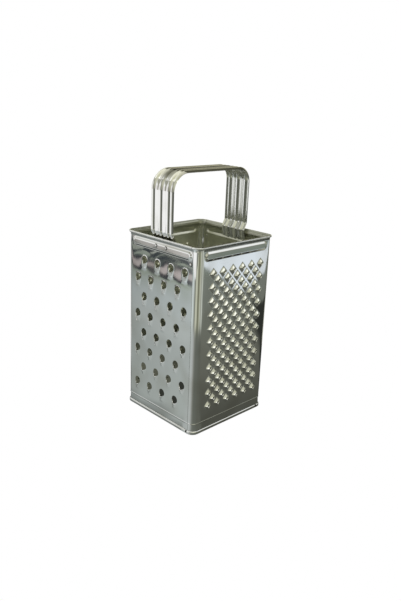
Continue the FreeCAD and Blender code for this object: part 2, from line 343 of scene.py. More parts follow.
def flat_cells(mesh, blanks):
    """Plain sheet in the places of a field that carry no tooth."""
    for blank in blanks:
        points = []
        for point in blank:
            if not points or math.dist(point, points[-1]) > same_place:
                points.append(point)
        if math.dist(points[0], points[-1]) < same_place:
            points.pop()
        area = sum(a[0] * b[1] - b[0] * a[1] for a, b in zip(points, points[1:] + points[:1]))
        if len(points) > 2 and area > least_area:
            mesh.faces.new([mesh.verts.new((s * mm, -half_span * mm, z * mm)) for s, z in points])


def squeezed(s, fit):
    """Cells that would reach past the wall's flat part are narrowed beyond a given line."""
    line, reach, limit = fit
    if (s - line) * (reach - line) <= 0:
        return s
    return line + (s - line) * (limit - line) / (reach - line)


def lap_flange(mesh):
    """Flat flange that runs on from the rounded corner and lies behind the next panel."""
    plan = []
    for depth in (sheet, 2 * sheet):
        root = math.sqrt((corner_radius - sheet / 2) ** 2 - (corner_radius - depth) ** 2)
        plan.append((depth - half_span, -bend_line - root))
    plan += [(depth - half_span, lap_width - bend_line) for depth in (2 * sheet, sheet)]
    low = foot_height + lap_end_clearance
    high = band_centre - band_half_height - lap_end_clearance
    rings = [[mesh.verts.new((x * mm, y * mm, z * mm)) for x, y in plan] for z in (low, high)]
    faces = [mesh.faces.new(rings[0][::-1]), mesh.faces.new(rings[1])]
    bmesh.ops.recalc_face_normals(mesh, faces=faces + joined_rings(mesh, rings))


def made_thick(name, mesh, thickness):
    """Turn an open outer face into closed sheet metal of the given thickness."""
    data = mesh_data(name, mesh)
    piece = placed(name, data)
    modifier = piece.modifiers.new("sheet", "SOLIDIFY")
    modifier.thickness = thickness * mm
    modifier.offset = -1
    modifier.use_even_offset = True
    graph = bpy.context.evaluated_depsgraph_get()
    solid = bpy.data.meshes.new_from_object(piece.evaluated_get(graph))
    piece.modifiers.clear()
    piece.data = solid
    bpy.data.meshes.remove(data)
    solid.name = name
    return piece


def finished(piece, finish, crease):
    """Smooth shading up to a crease angle, and one material."""
    piece.data.materials.clear()
    piece.data.materials.append(finish)
    piece.data.shade_smooth()
    piece.data.set_sharp_from_angle(angle=math.radians(crease))


def wall_panel(name, mesh, cells, fit, turns, flanged):
    """Weld formed sheet and punched cells, thicken them and turn the panel to its side."""
    for vert in cells.vertices:
        vert.co.x = squeezed(vert.co.x / mm, fit) * mm
    mesh.from_mesh(cells)
    bpy.data.meshes.remove(cells)
    bmesh.ops.remove_doubles(mesh, verts=mesh.verts, dist=weld_distance)
    panel = made_thick(name, mesh, sheet)
    if flanged:
        whole = bmesh.new()
        whole.from_mesh(panel.data)
        lap_flange(whole)
        whole.to_mesh(panel.data)
        whole.free()
    panel.data.transform(Matrix.Rotation(turns * math.pi / 2, 4, "Z"))
    finished(panel, bright_sheet, panel_crease)
    return panel


def range_of(value, low, high, shape="SMOOTHSTEP"):
    """Zero below low and one above high, smooth between them unless another shape is given."""
    node = new_node(value.id_data, "ShaderNodeMapRange", {"Value": value, "From Min": low, "From Max": high})
    node.interpolation_type = shape
    return node.outputs[0]


def fade_of(value, low, high):
    """One below low and zero above high, smooth between them."""
    return math_of("SUBTRACT", 1.0, range_of(value, low, high))


def all_of(*masks):
    """Product of masks: one only where each of them is one."""
    product = masks[0]
    for mask in masks[1:]:
        product = math_of("MULTIPLY", product, mask)
    return product


def noise_of(place, scale, detail):
    values = {"Vector": place, "Scale": scale, "Detail": detail}
    return new_node(place.id_data, "ShaderNodeTexNoise", values).outputs[0]


def axes_of(place):
    """X, Y and Z of a place."""
    return new_node(place.id_data, "ShaderNodeSeparateXYZ", {"Vector": place}).outputs


def colour_steps(value, steps):
    """Colour over a value, from (position, colour) steps."""
    ramp = value.id_data.nodes.new("ShaderNodeValToRGB")
    ramp.color_ramp.interpolation = "EASE"
    while len(ramp.color_ramp.elements) < len(steps):
        ramp.color_ramp.elements.new(0.5)
    for element, (position, colour) in zip(ramp.color_ramp.elements, steps):
        element.position = position
        element.color = (*colour, 1)
    put_in(ramp.inputs[0], value)
    return ramp.outputs[0]


def blend_of(factor, first, second):
    """Colour that goes from the first to the second as the factor goes from zero to one."""
    mix = factor.id_data.nodes.new("ShaderNodeMix")
    mix.data_type = "RGBA"
    for socket, value in ((mix.inputs["Factor"], factor), (mix.inputs[6], first), (mix.inputs[7], second)):
        put_in(socket, value)
    return mix.outputs[2]


def rolled_metal_tree():
    """Shader group: soft patches, rolling grain and dull specks of bright rolled metal."""
    grain_stretch, grain_relief, grain_wear = 0.06, 0.02, 0.5
    speck_rim, speck_core, speck_strength = 0.16, 0.08, 0.35
    blotch_start, blotch_full, most_worn = 0.46, 0.72, 1.2
    tree, given, put_out = new_group("rolled_metal", "ShaderNodeTree", (
        ("Bright", "Color"), ("Dulled", "Color"), ("Patch Scale", "Float"), ("Grain Scale", "Float"),
        ("Smooth", "Float"), ("Rough", "Float"),
    ), (("Color", "Color"), ("Roughness", "Float"), ("Height", "Float")))
    place = tree.nodes.new("ShaderNodeTexCoord").outputs["Object"]
    patches = noise_of(place, given["Patch Scale"], 1)
    along = new_node(tree, "ShaderNodeMapping", {"Vector": place, "Scale": (1, 1, grain_stretch)})
    grain = noise_of(along.outputs[0], given["Grain Scale"], 2)
    specks = new_node(tree, "ShaderNodeTexVoronoi", {"Vector": place, "Scale": given["Grain Scale"]})
    dull = range_of(specks.outputs["Distance"], speck_rim, speck_core, "LINEAR")
    blotch = range_of(patches, blotch_start, blotch_full, "LINEAR")
    stain = math_of("MULTIPLY_ADD", dull, speck_strength, blotch)
    stain.node.use_clamp = True
    wear = math_of("MULTIPLY_ADD", grain, grain_wear, stain)
    rough = range_of(wear, 0.0, most_worn, "LINEAR")
    put_in(rough.node.inputs["To Min"], given["Smooth"])
    put_in(rough.node.inputs["To Max"], given["Rough"])
    put_in(put_out["Color"], blend_of(stain, given["Bright"], given["Dulled"]))
    put_in(put_out["Roughness"], rough)
    put_in(put_out["Height"], math_of("MULTIPLY_ADD", grain, grain_relief, patches))
    return tree


rolled_metal = rolled_metal_tree()


def metal_finish(name, bright, dulled, patch_scale, grain_scale, smooth, rough, dent):
    """Bright metal with the rolled-metal surface; dent is the depth of its waviness in mm."""
    finish = bpy.data.materials.new(name)
    finish.use_nodes = True
    tree = finish.node_tree
    surface = tree.nodes.new("ShaderNodeGroup")
    surface.node_tree = rolled_metal
    for socket, value in zip(surface.inputs, (bright, dulled, patch_scale, grain_scale, smooth, rough)):
        put_in(socket, value)
    bump = new_node(tree, "ShaderNodeBump", {"Distance": dent * mm, "Height": surface.outputs["Height"]})
    shader = tree.nodes["Principled BSDF"].inputs
    put_in(shader["Metallic"], 1.0)
    put_in(shader["Base Color"], surface.outputs["Color"])
    put_in(shader["Roughness"], surface.outputs["Roughness"])
    put_in(shader["Normal"], bump.outputs[0])
    return finish


def tone_painted_where(finish, mask, colour, roughness):
    """Mix another colour and roughness into a finish where the mask is one: painted shade, painted highlight
    and a duller finish.
    """
    shader = finish.node_tree.nodes["Principled BSDF"].inputs
    plain, smooth = (shader[name].links[0].from_socket for name in ("Base Color", "Roughness"))
    put_in(shader["Base Color"], blend_of(mask, plain, colour))
    worn = finish.node_tree.nodes.new("ShaderNodeMix")
    for place, value in ((0, mask), (2, smooth), (3, roughness)):
        put_in(worn.inputs[place], value)
    put_in(shader["Roughness"], worn.outputs[0])


neck_shadow, neck_roughness = (0.42, 0.43, 0.41), 0.25
neck_start, neck_end = (0.1672, 0.1680), (0.1694, 0.1700)
front_corner = (0.0840, 0.0855)
back_fold_near, back_fold_far = (-0.0857, -0.0851), (-0.0868, -0.0863)
back_fold_top = (0.159, 0.166)
facing_in, inside_roughness = (0.012, 0.025), 0.30
inside_painted_light_and_shade = (
    (0.0, (0.34, 0.35, 0.31)), (0.05, (0.52, 0.53, 0.47)), (0.10, (0.80, 0.81, 0.72)),
    (0.145, (0.88, 0.89, 0.78)), (0.158, (0.70, 0.71, 0.60)), (0.17, (0.42, 0.43, 0.35)),
)
bright_sheet = metal_finish(
    "bright_tinned_sheet", bright=(0.86, 0.87, 0.86), dulled=(0.76, 0.76, 0.73), patch_scale=42.0,
    grain_scale=1600.0, smooth=0.02, rough=0.07, dent=0.20,
)
around = bright_sheet.node_tree.nodes.new("ShaderNodeTexCoord").outputs
east, north, height = axes_of(around["Object"])
towards_front = math_of("SUBTRACT", east, north)
# Painted shade: a dark, rougher band just under the rolled rim, faded out near the front corner.
rim_shade_mask = all_of(
    range_of(height, *neck_start), fade_of(height, *neck_end), fade_of(towards_front, *front_corner),
)
tone_painted_where(bright_sheet, rim_shade_mask, neck_shadow, neck_roughness)
# Painted light and shade on the inside faces by height: dark low down, light at mid height, darker under the
# rim, with a rougher finish. The back corner's fold is kept out of it.
back_fold = all_of(
    range_of(towards_front, *back_fold_far), fade_of(towards_front, *back_fold_near),
    fade_of(height, *back_fold_top),
)
inwards = vector_of("DOT_PRODUCT", around["Normal"], vector_of("MULTIPLY", around["Object"], (-1, -1, 0)))
inside = all_of(range_of(inwards, *facing_in), math_of("SUBTRACT", 1.0, back_fold))
tone_painted_where(bright_sheet, inside, colour_steps(height, inside_painted_light_and_shade), inside_roughness)

hole_radius = 3.7
lip_rise = 2.0
lip_start = 1.0
lip_width_share = 0.97
lip_fullness = 1.1
hole_burr = 0.05
burr_share = 0.14
cut_edge_share = 0.97
cut_edge_drop = 0.12
ring_shares = (1.0, 0.85, 0.7, 0.55, 0.4, 0.26, 0.14, 0.06, 0.0)
ramp_length = 9.5
coarse_half_pitch = 8.9
coarse_row_pitch = 17.3
coarse_columns = 8
coarse_rows = 8
coarse_first = (-32.3, 147.7)
cell_above = 7.0
cell_steps = 8


def lip_height(s, z):
    """Height of the drawn lip below a hole, measured from the hole's centre."""
    along = (z + ramp_length) / (ramp_length - hole_radius)
    if along <= 0 or z > -lip_start:
        return 0.0
    half_width = hole_radius * lip_width_share * (z + ramp_length) / (ramp_length - lip_start)
    across = 1 - (s / half_width) ** 2
    return lip_rise * min(along, 1.0) * max(across, 0.0) ** lip_fullness


def outline(corners, steps):
    """Places round a closed outline, with equal steps on each side."""
    points = []
    for a, b in zip(corners, corners[1:] + corners[:1]):
        points += [(a[0] + (b[0] - a[0]) * i / steps, a[1] + (b[1] - a[1]) * i / steps) for i in range(steps)]
    return points


def coarse_cell():
    """Cell of sheet round one hole: border, drawn lip and rounded cut edge."""
    low, side = cell_above - coarse_row_pitch, coarse_half_pitch
    border = outline([(side, low), (side, cell_above), (-side, cell_above), (-side, low)], cell_steps)
    count = len(border)
    angles = [-math.pi / 4 + math.tau * i / count for i in range(count)]
    edge = [(hole_radius * math.cos(angle), hole_radius * math.sin(angle)) for angle in angles]
    rings = []
    for t in ring_shares:
        ring = []
        for (a, b), (c, d) in zip(edge, border):
            s, z = a + (c - a) * t, b + (d - b) * t
            ring.append((s, lip_height(s, z) + hole_burr * max(1 - t / burr_share, 0.0), z))
        rings.append(ring)
    rings.append([(s * cut_edge_share, u - cut_edge_drop, z * cut_edge_share) for s, u, z in rings[-1]])
    return ring_tile("coarse_cell", rings)


coarse_fit = (coarse_first[0] - hole_radius, coarse_first[0] - coarse_half_pitch, -bend_line)
field_top = coarse_first[1] + cell_above
field_low = field_top - coarse_rows * coarse_row_pitch
half_steps = cell_steps // 2
coarse_places = snapped(
    squeezed(coarse_first[0] + coarse_half_pitch * i / half_steps, coarse_fit)
    for i in range(-half_steps, half_steps * coarse_columns + 1)
)
coarse_heights = snapped(evenly(field_top, field_low, cell_steps * coarse_rows))
coarse_sheet = formed_sheet(coarse_places, coarse_heights, right_lapped=True)
blanks = []
for row in range(coarse_rows):
    top = field_top - row * coarse_row_pitch
    start = -1 if row % 2 == 0 else coarse_columns - 1
    left = coarse_first[0] + start * coarse_half_pitch
    right = left + coarse_half_pitch
    heights = evenly(top - coarse_row_pitch, top, cell_steps)
    across = [squeezed(s, coarse_fit) for s in evenly(left, right, half_steps)]
    blanks.append(
        [(s, heights[0]) for s in across] + [(across[-1], z) for z in heights[1:]]
        + [(s, heights[-1]) for s in across[::-1][1:]] + [(across[0], z) for z in heights[::-1][1:-1]]
    )
flat_cells(coarse_sheet, blanks)
coarse_copies = copied_cells(
    coarse_cell(), bright_sheet, coarse_columns, coarse_rows, every=2, shift=1,
    half_pitch=coarse_half_pitch, row_pitch=coarse_row_pitch, first=coarse_first,
)
coarse_panel = wall_panel("coarse_wall", coarse_sheet, coarse_copies, coarse_fit, turns=0, flanged=False)
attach(coarse_panel, "root")
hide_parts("coarse_panel")

# Medium wall panel, right front. The same sheet, pierced from inside by four-sided punches, which
# leave rows of hollow diamond teeth with torn, sharp tips.
medium_half_pitch = 5.95
medium_row_pitch = 6.14
medium_columns = 11
medium_rows = 21
medium_first = (-27.5, 147.3)
medium_tooth = (4.9, 5.1, 2.2)
medium_tip_share = 0.36
tooth_profile = ((1.04, 0.0), (1.0, 0.0), (0.86, 0.11), (0.68, 0.36))
tip_low = 0.8
tip_tear = 0.2
edge_steps = 4


def diamond(half_width, half_height):
    corners = [(half_width, 0.0), (0.0, half_height), (-half_width, 0.0), (0.0, -half_height)]
    return outline(corners, edge_steps)


def tooth_cell(name, half_pitch, row_pitch, tooth, tip_share):
    """Diamond cell of sheet with one pierced tooth: flat land, root fillet, flanks and torn tip."""
    half_width, half_height, rise = tooth
    rings = [[(s, 0.0, z) for s, z in diamond(half_pitch, row_pitch)]]
    for share, level in tooth_profile:
        rings.append([(s, rise * level, z) for s, z in diamond(half_width * share, half_height * share)])
    tip = []
    for i, (s, z) in enumerate(diamond(half_width * tip_share, half_height * tip_share)):
        torn = abs((i % edge_steps) / edge_steps - 0.5) * 2
        tip.append((s, rise * (tip_low + tip_tear * torn), z))
    rings.append(tip)
    return ring_tile(name, rings)


def toothed_wall(name, first, columns, rows, half_pitch, row_pitch, tooth, tip_share, turns):
    """Panel with a staggered field of pierced teeth, and its plain margins."""
    left, right = first[0] - half_pitch, first[0] + columns * half_pitch
    top, low = first[1] + row_pitch, first[1] - rows * row_pitch
    fit = (right - half_pitch + tooth[0], right, min(right, bend_line))
    steps_across, steps_down = edge_steps * (columns + 1), edge_steps * (rows + 1)
    places = snapped(squeezed(left + half_pitch * i / edge_steps, fit) for i in range(steps_across + 1))
    heights = snapped(top - row_pitch * i / edge_steps for i in range(steps_down + 1))
    wall = formed_sheet(places, heights, right_lapped=False)
    blanks = []
    for row in range(-1, rows + 1):
        for column in range(-1, columns + 1):
            inside = 0 <= row < rows and 0 <= column < columns
            if (row + column) % 2 == 0 and not inside:
                s, z = first[0] + column * half_pitch, first[1] - row * row_pitch
                blanks.append([
                    (squeezed(min(max(s + a, left), right), fit), min(max(z + b, low), top))
                    for a, b in diamond(half_pitch, row_pitch)
                ])
    flat_cells(wall, blanks)
    cell = tooth_cell(name + "_cell", half_pitch, row_pitch, tooth, tip_share)
    copies = copied_cells(cell, bright_sheet, columns, rows, 2, 0, half_pitch, row_pitch, first)
    return wall_panel(name, wall, copies, fit, turns, flanged=True)


medium_panel = toothed_wall(
    "medium_wall", medium_first, medium_columns, medium_rows, medium_half_pitch, medium_row_pitch,
    medium_tooth, medium_tip_share, turns=1,
)
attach(medium_panel, "root")
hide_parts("medium_panel")

# Slicing wall panel, right back. The same sheet, slit three times, with the metal below each slit
# pushed out into a low blade.
blade_pitch = 48.0
blade_count = 3
blade_first = 146.5
blade_half_length = 29.0
blade_rise = 2.6
blade_ramp = 13.0
blade_cheek = 5.0
blade_mouth = 2.0
blade_inner = blade_half_length - blade_cheek
blade_cell = (35.0, 9.0)
cheek_steps, blade_steps = 6, 12
below_steps, ramp_steps, mouth_steps = 3, 10, 4


def smooth_step(t):
    t = min(max(t, 0.0), 1.0)
    return t * t * (3 - 2 * t)


def blade_rise_at(s, z):
    """Height of a blade's ramp, which falls away at its ends and below its edge."""
    along = smooth_step((z + blade_ramp) / blade_ramp) if z <= 0 else 1 - z / blade_mouth
    across = smooth_step((blade_half_length - abs(s)) / blade_cheek)
    return blade_rise * max(along, 0.0) * across


blade_places = sorted(
    set(evenly(-blade_half_length, -blade_inner, cheek_steps))
    | set(evenly(blade_inner, blade_half_length, cheek_steps))
    | set(evenly(-blade_inner, blade_inner, blade_steps)) | {-blade_cell[0], blade_cell[0]}
)
blade_heights = sorted(
    set(evenly(blade_cell[1] - blade_pitch, -blade_ramp, below_steps))
    | set(evenly(-blade_ramp, 0, ramp_steps)) | set(evenly(0, blade_mouth, mouth_steps)) | {blade_cell[1]}
)
blade_mesh = bmesh.new()
blade_rows = [
    [blade_mesh.verts.new((s * mm, -blade_rise_at(s, z) * mm, z * mm)) for z in blade_heights]
    for s in blade_places
]
for i in range(len(blade_places) - 1):
    middle = (blade_places[i] + blade_places[i + 1]) / 2
    for j in range(len(blade_heights) - 1):
        slit = abs(middle) < blade_inner and 0 <= blade_heights[j] < blade_mouth
        if not slit:
            quad(blade_mesh, blade_rows, i, j)
slicing_heights = snapped(
    blade_first - blade_pitch * i + z for i in range(blade_count) for z in blade_heights
)
slicing_sheet = formed_sheet(snapped(blade_places), slicing_heights, right_lapped=True)
slicing_copies = copied_cells(
    bpy.data.objects.new("blade_cell", mesh_data("blade_cell", blade_mesh)), bright_sheet, 1, blade_count,
    every=1, shift=0, half_pitch=blade_cell[0], row_pitch=blade_pitch, first=(0.0, blade_first),
)
slicing_fit = (half_span, wall_span, wall_span)
slicing_panel = wall_panel("slicing_wall", slicing_sheet, slicing_copies, slicing_fit, turns=2, flanged=False)
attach(slicing_panel, "root")
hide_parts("slicing_panel")

# Fine wall panel, left back. The same sheet, pierced from inside by a small punch, which leaves
# close rows of low, sharp burrs.
fine_first = (-26.0, 149.5)
fine_half_pitch = 4.6
fine_row_pitch = 7.6
fine_columns = 14
fine_rows = 18
fine_tooth = (2.1, 2.3, 1.2)
fine_tip_share = 0.2
fine_panel = toothed_wall(
    "fine_wall", fine_first, fine_columns, fine_rows, fine_half_pitch, fine_row_pitch,
    fine_tooth, fine_tip_share, turns=3,
)
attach(fine_panel, "root")
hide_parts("fine_panel")

# Strap handle: one strip of polished steel, rolled into round beads with sharp grooves between them,
# bent to a U, and joggled inwards at its feet, which are riveted inside the raised bands. Its top bar
# has painted shade in the middle groove and along its edges, and a painted reflection on its beads.
overall_height = 229.0
strap_width = 29.0
strap_sheet = 0.6
flute_pitch = strap_width / 3
flute_depth = 1.7
bead_depth = 0.9
flute_flank = 2.4
leg_line = half_span + 2.0
front_bend_radius = 18.0
back_bend_radius = 14.0
foot_drop = 10.5
foot_length = 8.2
foot_slant = math.radians(12)
foot_clearance = 0.3
joggle = math.radians(30)
joggle_inner_bend = 3.0
joggle_outer_bend = 4.0
joggle_steps = 8
top_bend_steps = 16
strap_columns = 72
strap_crease = 45
upright = math.pi / 2


def flute_level(x):
    """Depth of the strap's outer face below its crests: sharp grooves between round beads."""
    level = 0.0
    for groove, depth in (
        (0.0, flute_depth), (flute_pitch / 2, bead_depth), (flute_pitch, flute_depth),
        (strap_width / 2, flute_depth),
    ):
        distance = min(abs(abs(x) - groove) / flute_flank, 1.0)
        level = min(level, -depth * (1 - math.sin(distance * upright)))
    return level


def bent(y, z, heading, turn, radius, steps):
    """Places along a bend of the strap's crest line; a positive turn is towards -Y."""
    side = math.copysign(radius, turn)
    centre_y, centre_z = y - side * math.sin(heading), z + side * math.cos(heading)
    return [
        (centre_y + side * math.sin(angle), centre_z - side * math.cos(angle), angle)
        for angle in evenly(heading, heading + turn, steps)
    ]


def strap_leg(top_radius):
    """Crest line of the leg on the +Y side, from its foot over the joggle to the end of its top bend."""
    heading = upright + foot_slant
    y, z = half_span + band_rise - sheet - foot_clearance, rim_height - foot_drop
    line = [(y, z, heading)]
    y, z = y + foot_length * math.cos(heading), z + foot_length * math.sin(heading)
    line += bent(y, z, heading, -foot_slant - joggle, joggle_inner_bend, joggle_steps)
    y, z = line[-1][:2]
    rounding = joggle_outer_bend * (1 - math.cos(joggle))
    rise = (leg_line - rounding - y) / math.tan(joggle)
    line += bent(leg_line - rounding, z + rise, upright - joggle, joggle, joggle_outer_bend, joggle_steps)
    return line + bent(leg_line, overall_height - top_radius, upright, upright, top_radius, top_bend_steps)


strap_line = strap_leg(back_bend_radius)
strap_line += [(-y, z, -heading) for y, z, heading in strap_leg(front_bend_radius)[::-1]]
strap_places = evenly(-strap_width / 2, strap_width / 2, strap_columns)
strap_mesh = bmesh.new()
strap_rows = []
for y, z, heading in strap_line:
    row = []
    for x in strap_places:
        level = flute_level(x)
        row.append(strap_mesh.verts.new((
            x * mm, (y + level * math.sin(heading)) * mm, (z - level * math.cos(heading)) * mm,
        )))
    strap_rows.append(row)
for i in range(len(strap_line) - 1):
    for j in range(strap_columns):
        quad(strap_mesh, strap_rows, i, j)
strap = made_thick("handle_strap", strap_mesh, strap_sheet)
groove_painted_shade, bead_painted_reflection, edge_painted_shade = (0.13, 0.128, 0.09), (0.95, 0.94, 0.79), (0.34, 0.33, 0.25)
bar_start, bar_roughness = (0.2175, 0.226), 0.12
strap_middle = (0.0, 0.0, 0.19)
facing_out, inner_tone, inner_roughness = (-0.03, -0.01), (0.86, 0.87, 0.85), 0.17
polished_strip = metal_finish(
    "polished_strip", bright=(0.9, 0.9, 0.89), dulled=(0.80, 0.80, 0.77), patch_scale=60.0,
    grain_scale=1800.0, smooth=0.04, rough=0.10, dent=0.10,
)
held = polished_strip.node_tree.nodes.new("ShaderNodeTexCoord").outputs
axes = axes_of(held["Object"])
# Painted shade in the bar's middle groove and along its edges, and a painted reflection on its beads.
bar_painted_shading = colour_steps(math_of("ABSOLUTE", axes["X"]), (
    (0.0, groove_painted_shade), (0.0034, groove_painted_shade), (0.0048, bead_painted_reflection), (0.0122, bead_painted_reflection), (0.0138, edge_painted_shade),
))
tone_painted_where(polished_strip, range_of(axes["Z"], *bar_start), bar_painted_shading, bar_roughness)
facing = vector_of("DOT_PRODUCT", held["Normal"], vector_of("SUBTRACT", held["Object"], strap_middle))
tone_painted_where(polished_strip, fade_of(facing, *facing_out), inner_tone, inner_roughness)
finished(strap, polished_strip, strap_crease)
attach(strap, "root")
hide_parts("strap_handle")

# Rivets: small low-headed steel rivets, two through each foot of the handle and one through each
# lapped corner seam, clinched on the inside.
rivet_radius = 0.8
rivet_head_radius = 1.8
rivet_head_rise = 0.7
rivet_height = band_centre + 1.0
rivet_spread = 13.0
seam_rivet_height = 156.0
handle_grip = 2.1
seam_grip = 2 * sheet
rivet_sides = 16
rivet_crease = 50
dome_top = 1.35
dome_steps = 5
head_gap = 0.02
clinch_shares = (1.35, 1.1)
clinch_depth = 0.25
head_edge_start, head_edge_width = 0.5, 0.3
head_edge_painted_shade, head_edge_roughness = (0.10, 0.10, 0.09), 0.35
rivet_steel = metal_finish(
    "rivet_steel", bright=(0.82, 0.82, 0.8), dulled=(0.5, 0.5, 0.47), patch_scale=700.0,
    grain_scale=2600.0, smooth=0.10, rough=0.26, dent=0.05,
)
# Painted shade: a dark ring round the edge of each rivet head.
head_edge_shade_mask = rivet_steel.node_tree.nodes.new("ShaderNodeAttribute")
head_edge_shade_mask.attribute_name = "edge"
tone_painted_where(rivet_steel, head_edge_shade_mask.outputs["Fac"], head_edge_painted_shade, head_edge_roughness)


def rivet_cell(seat, grip):
    """One rivet, pointing out of the wall: domed head, shank, and clinched end inside."""
    dome = evenly(dome_top, 0.0, dome_steps)
    levels = [(rivet_head_radius * math.cos(a), rivet_head_rise * math.sin(a)) for a in dome]
    levels += [(rivet_radius, -head_gap), (rivet_radius, -grip)]
    levels += [(rivet_radius * clinch_shares[0], -grip - head_gap)]
    levels += [(rivet_radius * clinch_shares[1], -grip - clinch_depth)]
    mesh = bmesh.new()
    rings = []
    for radius, level in levels:
        rings.append([
            mesh.verts.new((
                radius * math.cos(math.tau * i / rivet_sides) * mm, -(seat + level) * mm,
                radius * math.sin(math.tau * i / rivet_sides) * mm,
            ))
            for i in range(rivet_sides)
        ])
    joined_rings(mesh, rings)
    mesh.faces.new(rings[0])
    mesh.faces.new(rings[-1][::-1])
    bmesh.ops.recalc_face_normals(mesh, faces=mesh.faces)
    data = mesh_data("rivet_cell", mesh)
    # Mask for the painted shade round the head's edge.
    edge = data.attributes.new("edge", "FLOAT", "POINT")
    for place, vert in zip(edge.data, data.vertices):
        out = math.hypot(vert.co.x, vert.co.z) / (rivet_head_radius * mm)
        place.value = smooth_step((out - head_edge_start) / head_edge_width)
    return bpy.data.objects.new("rivet_cell", data)


def rivets_on_both_walls(name, seat, grip, count, pitch, first):
    """The same rivets on the front wall and, turned half round, on the back wall."""
    copies = copied_cells(rivet_cell(seat, grip), rivet_steel, count, 1, 1, 0, pitch, 0.0, first)
    both = bmesh.new()
    both.from_mesh(copies)
    copies.transform(Matrix.Rotation(math.pi, 4, "Z"))
    both.from_mesh(copies)
    both.to_mesh(copies)
    both.free()
    copies.name = name
    piece = placed(name, copies)
    finished(piece, rivet_steel, rivet_crease)
    return piece


handle_rivets = rivets_on_both_walls(
    "handle_rivets", band_rise, handle_grip, 2, rivet_spread, (-rivet_spread / 2, rivet_height),
)
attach(handle_rivets, "root")
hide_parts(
    "front_handle_rivet_left", "front_handle_rivet_right",
    "back_handle_rivet_left", "back_handle_rivet_right",
)
seam_rivets = rivets_on_both_walls(
    "seam_rivets", 0.0, seam_grip, 1, 0.0, (bend_line - lap_width / 2, seam_rivet_height),
)
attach(seam_rivets, "root")
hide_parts("front_seam_rivet", "back_seam_rivet")

# Floor: plain white paper to the camera, with a painted shadow inside the object's foot. The metal
# mirrors another ground, painted for reflected rays alone: grey with dark streaks before the coarse
# wall, pale stripes off the front corner, and dark with one bright window before the medium wall.
floor_half = 6.0
floor_drop = 0.0005
floor_mesh = bmesh.new()
floor_mesh.faces.new([
    floor_mesh.verts.new((x * floor_half, y * floor_half, -floor_drop))
    for x, y in ((-1, -1), (1, -1), (1, 1), (-1, 1))
])
floor = placed("pale_floor", mesh_data("pale_floor", floor_mesh))
paper = bpy.data.materials.new("pale_paper")
paper.use_nodes = True
floor.data.materials.append(paper)
nodes, links = paper.node_tree.nodes, paper.node_tree.links
nodes.remove(nodes["Principled BSDF"])
ground = nodes.new("ShaderNodeTexCoord").outputs["Object"]
east, north = axes_of(ground)[:2]
from_corner = vector_of("SUBTRACT", ground, (bend_line * mm, -bend_line * mm, 0.0))
turned = nodes.new("ShaderNodeTexGradient")
turned.gradient_type = "RADIAL"
links.new(from_corner, turned.inputs["Vector"])
bearing = turned.outputs["Fac"]

# Before the coarse wall, by the distance from it.
streak, blush = (0.05, 0.055, 0.06), (0.45, 0.405, 0.395)
khaki, far_white = (0.54, 0.54, 0.43), (0.97, 0.97, 0.97)
unevenness, raggedness, gain_slope = 0.03, 0.02, 2.2
blots = noise_of(ground, scale=16.0, detail=2.0)
ahead = math_of("SUBTRACT", math_of("MULTIPLY_ADD", blots, unevenness, -unevenness / 2), north)
front_left = colour_steps(ahead, (
    (0.047, (0.16, 0.17, 0.16)), (0.056, (0.24, 0.26, 0.25)), (0.066, (0.345, 0.375, 0.36)),
    (0.16, (0.35, 0.38, 0.37)), (0.21, (0.40, 0.43, 0.42)), (0.28, (0.41, 0.45, 0.45)),
    (0.33, (0.36, 0.40, 0.38)), (0.349, (0.31, 0.35, 0.30)), (0.356, streak),
    (0.370, (0.055, 0.055, 0.06)), (0.377, blush), (0.399, blush),
    (0.406, streak), (0.415, streak), (0.423, (0.30, 0.34, 0.29)),
    (0.465, (0.36, 0.38, 0.34)), (0.490, (0.48, 0.46, 0.44)),
))
lean = math_of("SUBTRACT", east, north)
least_gain, most_gain = 0.78, 1.15
side_gain = math_of("MAXIMUM", math_of("MULTIPLY_ADD", lean, gain_slope, 1.0), least_gain)
side_gain = math_of("MINIMUM", side_gain, most_gain)
patchy = range_of(noise_of(ground, scale=26.0, detail=1.0), 0.46, 0.49)
shade = all_of(range_of(ahead, 0.416, 0.424), fade_of(ahead, 0.476, 0.484), patchy)
shade_tone = (0.05, 0.06, 0.065)
left_floor = vector_of("MULTIPLY", blend_of(shade, front_left, shade_tone), side_gain)

# Off the front corner, by the bearing round it, near by and farther away.
corner_near = colour_steps(bearing, (
    (0.124, (0.42, 0.45, 0.44)), (0.207, (0.48, 0.51, 0.50)), (0.263, (0.42, 0.44, 0.43)),
    (0.302, (0.31, 0.32, 0.30)), (0.346, (0.19, 0.20, 0.175)), (0.402, (0.14, 0.15, 0.13)),
    (0.62, (0.12, 0.125, 0.105)),
))
corner_far = colour_steps(bearing, (
    (0.124, (0.45, 0.49, 0.50)), (0.175, (0.66, 0.72, 0.72)), (0.225, (0.50, 0.54, 0.51)),
    (0.28, (0.18, 0.19, 0.155)), (0.322, (0.56, 0.57, 0.46)), (0.366, (0.56, 0.57, 0.45)),
    (0.413, (0.17, 0.175, 0.125)), (0.463, (0.29, 0.295, 0.21)), (0.507, (0.54, 0.56, 0.47)),
    (0.545, (0.33, 0.34, 0.29)), (0.605, (0.55, 0.58, 0.52)), (0.635, (0.20, 0.21, 0.18)),
))
corner_floor = blend_of(range_of(vector_of("LENGTH", from_corner), 0.22, 0.31), corner_near, corner_far)

